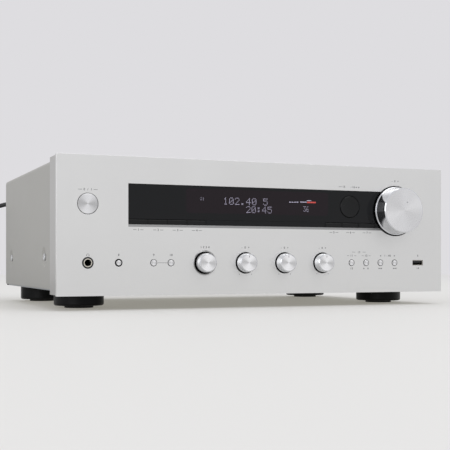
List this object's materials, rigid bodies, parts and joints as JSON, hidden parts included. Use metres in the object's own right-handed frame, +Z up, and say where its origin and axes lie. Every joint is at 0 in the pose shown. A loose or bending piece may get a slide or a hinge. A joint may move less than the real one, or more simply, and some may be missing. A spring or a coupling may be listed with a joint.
{
  "type": "stereo receiver",
  "caption": "Full-width hi-fi stereo receiver: aluminium front with knobs, push buttons and a dark display, vented steel case, rear sockets and a captive mains lead.",
  "frame": {"origin": "on the surface it stands on, under the middle of the receiver's box without its mains lead", "axes": "+X to the right seen from the front, +Y from the front to the rear, +Z up; the front faces -Y"},
  "size_m": [0.5684, 0.3742, 0.15],
  "materials": {
    "panel_aluminium": "bead-blasted, clear anodised",
    "frame_plastic": "moulded, fine texture",
    "trim_aluminium": "satin anodised extrusion",
    "window_acrylic": "polished smoked acrylic",
    "display_glass": "dark display tube",
    "circuit_board": "green solder mask",
    "control_metal": "zinc-plated",
    "jack_metal": "nickel-plated, dulled",
    "socket_metal": "nickel-plated",
    "cover_steel": "fine-textured silver paint",
    "chassis_steel": "galvanised sheet",
    "rear_paint": "black powder coat",
    "screw_black": "black-passivated",
    "foot_plastic": "moulded, dull",
    "foot_pad": "soft pad",
    "transformer_steel": "varnished laminations",
    "sink_aluminium": "plain extrusion",
    "device_epoxy": "moulded epoxy",
    "capacitor_sleeve": "shrunk sleeve",
    "terminal_plastic": "moulded, with plated posts",
    "lan_plastic": "moulded",
    "cord_rubber": "extruded sheath",
    "plug_plastic": "moulded",
    "knob_aluminium": "spun face, satin sides",
    "button_aluminium": "spun",
    "key_plastic": "moulded, polished",
    "pad_plastic": "moulded, polished",
    "cap_black": "clear-coated moulding",
    "cap_red": "clear-coated moulding"
  },
  "bodies": {
    "root": {"front_panel": "panel_aluminium", "front_frame": "frame_plastic", "side_cap_left": "trim_aluminium", "side_cap_right": "trim_aluminium", "display_window": "window_acrylic", "display_module": "display_glass", "control_board": "circuit_board", "rotary_controls": "control_metal", "headphone_jack": "jack_metal", "usb_socket": "socket_metal", "top_cover": "cover_steel", "chassis_base": "chassis_steel", "rear_panel": "rear_paint", "screws": "screw_black", "feet": "foot_plastic", "foot_pads": "foot_pad", "power_transformer": "transformer_steel", "heat_sink": "sink_aluminium", "output_transistors": "device_epoxy", "amplifier_board": "circuit_board", "filter_capacitors": "capacitor_sleeve", "input_board": "circuit_board", "line_jacks": "socket_metal", "lan_socket": "lan_plastic", "aerial_socket": "socket_metal", "speaker_terminals": "terminal_plastic", "cord_grommet": "cord_rubber", "mains_lead": "cord_rubber", "mains_coil": "cord_rubber", "mains_plug": "plug_plastic"},
    "volume_knob": {"volume_knob": "knob_aluminium"},
    "input_knob": {"input_knob": "knob_aluminium"},
    "bass_knob": {"bass_knob": "knob_aluminium"},
    "treble_knob": {"treble_knob": "knob_aluminium"},
    "balance_knob": {"balance_knob": "knob_aluminium"},
    "power_button": {"power_button": "button_aluminium"},
    "direct_button": {"direct_button": "button_aluminium"},
    "zone_button": {"zone_button": "button_aluminium"},
    "zone_off_button": {"zone_off_button": "button_aluminium"},
    "memory_button": {"memory_button": "button_aluminium"},
    "tuning_button": {"tuning_button": "button_aluminium"},
    "preset_down_button": {"preset_down_button": "button_aluminium"},
    "preset_up_button": {"preset_up_button": "button_aluminium"},
    "speaker_a_key": {"speaker_a_key": "key_plastic"},
    "speaker_b_key": {"speaker_b_key": "key_plastic"},
    "display_key": {"display_key": "key_plastic"},
    "info_key": {"info_key": "key_plastic"},
    "setup_key": {"setup_key": "key_plastic"},
    "enter_key": {"enter_key": "key_plastic"},
    "return_key": {"return_key": "key_plastic"},
    "cursor_gimbal": {"cursor_gimbal": "frame_plastic"},
    "cursor_pad": {"cursor_pad": "pad_plastic"},
    "post_cap_1": {"post_cap_1": "cap_black"},
    "post_cap_2": {"post_cap_2": "cap_red"},
    "post_cap_3": {"post_cap_3": "cap_black"},
    "post_cap_4": {"post_cap_4": "cap_red"},
    "post_cap_5": {"post_cap_5": "cap_black"},
    "post_cap_6": {"post_cap_6": "cap_red"},
    "post_cap_7": {"post_cap_7": "cap_black"},
    "post_cap_8": {"post_cap_8": "cap_red"}
  },
  "joints": [
    {"name": "volume_knob_turn", "type": "hinge", "parent": "root", "child": "volume_knob", "pos_m": [0.1572, -0.146, 0.1028], "axis": [0, 1, 0], "continuous": true},
    {"name": "input_knob_turn", "type": "hinge", "parent": "root", "child": "input_knob", "pos_m": [-0.0669, -0.146, 0.046], "axis": [0, 1, 0], "continuous": true},
    {"name": "bass_knob_turn", "type": "hinge", "parent": "root", "child": "bass_knob", "pos_m": [-0.0223, -0.146, 0.046], "axis": [0, 1, 0], "range_deg": [-150, 150]},
    {"name": "treble_knob_turn", "type": "hinge", "parent": "root", "child": "treble_knob", "pos_m": [0.0223, -0.146, 0.046], "axis": [0, 1, 0], "range_deg": [-150, 150]},
    {"name": "balance_knob_turn", "type": "hinge", "parent": "root", "child": "balance_knob", "pos_m": [0.0669, -0.146, 0.046], "axis": [0, 1, 0], "range_deg": [-150, 150]},
    {"name": "power_button_press", "type": "slide", "parent": "root", "child": "power_button", "axis": [0, 1, 0], "range_m": [0, 0.0008], "stiffness_N_per_m": 300},
    {"name": "direct_button_press", "type": "slide", "parent": "root", "child": "direct_button", "axis": [0, 1, 0], "range_m": [0, 0.0008], "stiffness_N_per_m": 300},
    {"name": "zone_button_press", "type": "slide", "parent": "root", "child": "zone_button", "axis": [0, 1, 0], "range_m": [0, 0.0008], "stiffness_N_per_m": 300},
    {"name": "zone_off_button_press", "type": "slide", "parent": "root", "child": "zone_off_button", "axis": [0, 1, 0], "range_m": [0, 0.0008], "stiffness_N_per_m": 300},
    {"name": "memory_button_press", "type": "slide", "parent": "root", "child": "memory_button", "axis": [0, 1, 0], "range_m": [0, 0.0008], "stiffness_N_per_m": 300},
    {"name": "tuning_button_press", "type": "slide", "parent": "root", "child": "tuning_button", "axis": [0, 1, 0], "range_m": [0, 0.0008], "stiffness_N_per_m": 300},
    {"name": "preset_down_button_press", "type": "slide", "parent": "root", "child": "preset_down_button", "axis": [0, 1, 0], "range_m": [0, 0.0008], "stiffness_N_per_m": 300},
    {"name": "preset_up_button_press", "type": "slide", "parent": "root", "child": "preset_up_button", "axis": [0, 1, 0], "range_m": [0, 0.0008], "stiffness_N_per_m": 300},
    {"name": "speaker_a_key_press", "type": "slide", "parent": "root", "child": "speaker_a_key", "axis": [0, 1, 0], "range_m": [0, 0.0008], "stiffness_N_per_m": 300},
    {"name": "speaker_b_key_press", "type": "slide", "parent": "root", "child": "speaker_b_key", "axis": [0, 1, 0], "range_m": [0, 0.0008], "stiffness_N_per_m": 300},
    {"name": "display_key_press", "type": "slide", "parent": "root", "child": "display_key", "axis": [0, 1, 0], "range_m": [0, 0.0008], "stiffness_N_per_m": 300},
    {"name": "info_key_press", "type": "slide", "parent": "root", "child": "info_key", "axis": [0, 1, 0], "range_m": [0, 0.0008], "stiffness_N_per_m": 300},
    {"name": "setup_key_press", "type": "slide", "parent": "root", "child": "setup_key", "axis": [0, 1, 0], "range_m": [0, 0.0008], "stiffness_N_per_m": 300},
    {"name": "enter_key_press", "type": "slide", "parent": "root", "child": "enter_key", "axis": [0, 1, 0], "range_m": [0, 0.0008], "stiffness_N_per_m": 300},
    {"name": "return_key_press", "type": "slide", "parent": "root", "child": "return_key", "axis": [0, 1, 0], "range_m": [0, 0.0008], "stiffness_N_per_m": 300},
    {"name": "cursor_gimbal_tilt", "type": "hinge", "parent": "root", "child": "cursor_gimbal", "pos_m": [0.1005, -0.13975, 0.10615], "axis": [1, 0, 0], "range_deg": [-2, 2], "stiffness_Nm_per_rad": 0.1},
    {"name": "cursor_pad_tilt", "type": "hinge", "parent": "cursor_gimbal", "child": "cursor_pad", "pos_m": [0.1005, -0.13975, 0.10615], "axis": [0, 0, 1], "range_deg": [-2, 2], "stiffness_Nm_per_rad": 0.1},
    {"name": "post_cap_1_unscrew", "type": "slide", "parent": "root", "child": "post_cap_1", "axis": [0, 1, 0], "range_m": [0, 0.004]},
    {"name": "post_cap_2_unscrew", "type": "slide", "parent": "root", "child": "post_cap_2", "axis": [0, 1, 0], "range_m": [0, 0.004]},
    {"name": "post_cap_3_unscrew", "type": "slide", "parent": "root", "child": "post_cap_3", "axis": [0, 1, 0], "range_m": [0, 0.004]},
    {"name": "post_cap_4_unscrew", "type": "slide", "parent": "root", "child": "post_cap_4", "axis": [0, 1, 0], "range_m": [0, 0.004]},
    {"name": "post_cap_5_unscrew", "type": "slide", "parent": "root", "child": "post_cap_5", "axis": [0, 1, 0], "range_m": [0, 0.004]},
    {"name": "post_cap_6_unscrew", "type": "slide", "parent": "root", "child": "post_cap_6", "axis": [0, 1, 0], "range_m": [0, 0.004]},
    {"name": "post_cap_7_unscrew", "type": "slide", "parent": "root", "child": "post_cap_7", "axis": [0, 1, 0], "range_m": [0, 0.004]},
    {"name": "post_cap_8_unscrew", "type": "slide", "parent": "root", "child": "post_cap_8", "axis": [0, 1, 0], "range_m": [0, 0.004]}
  ]
}
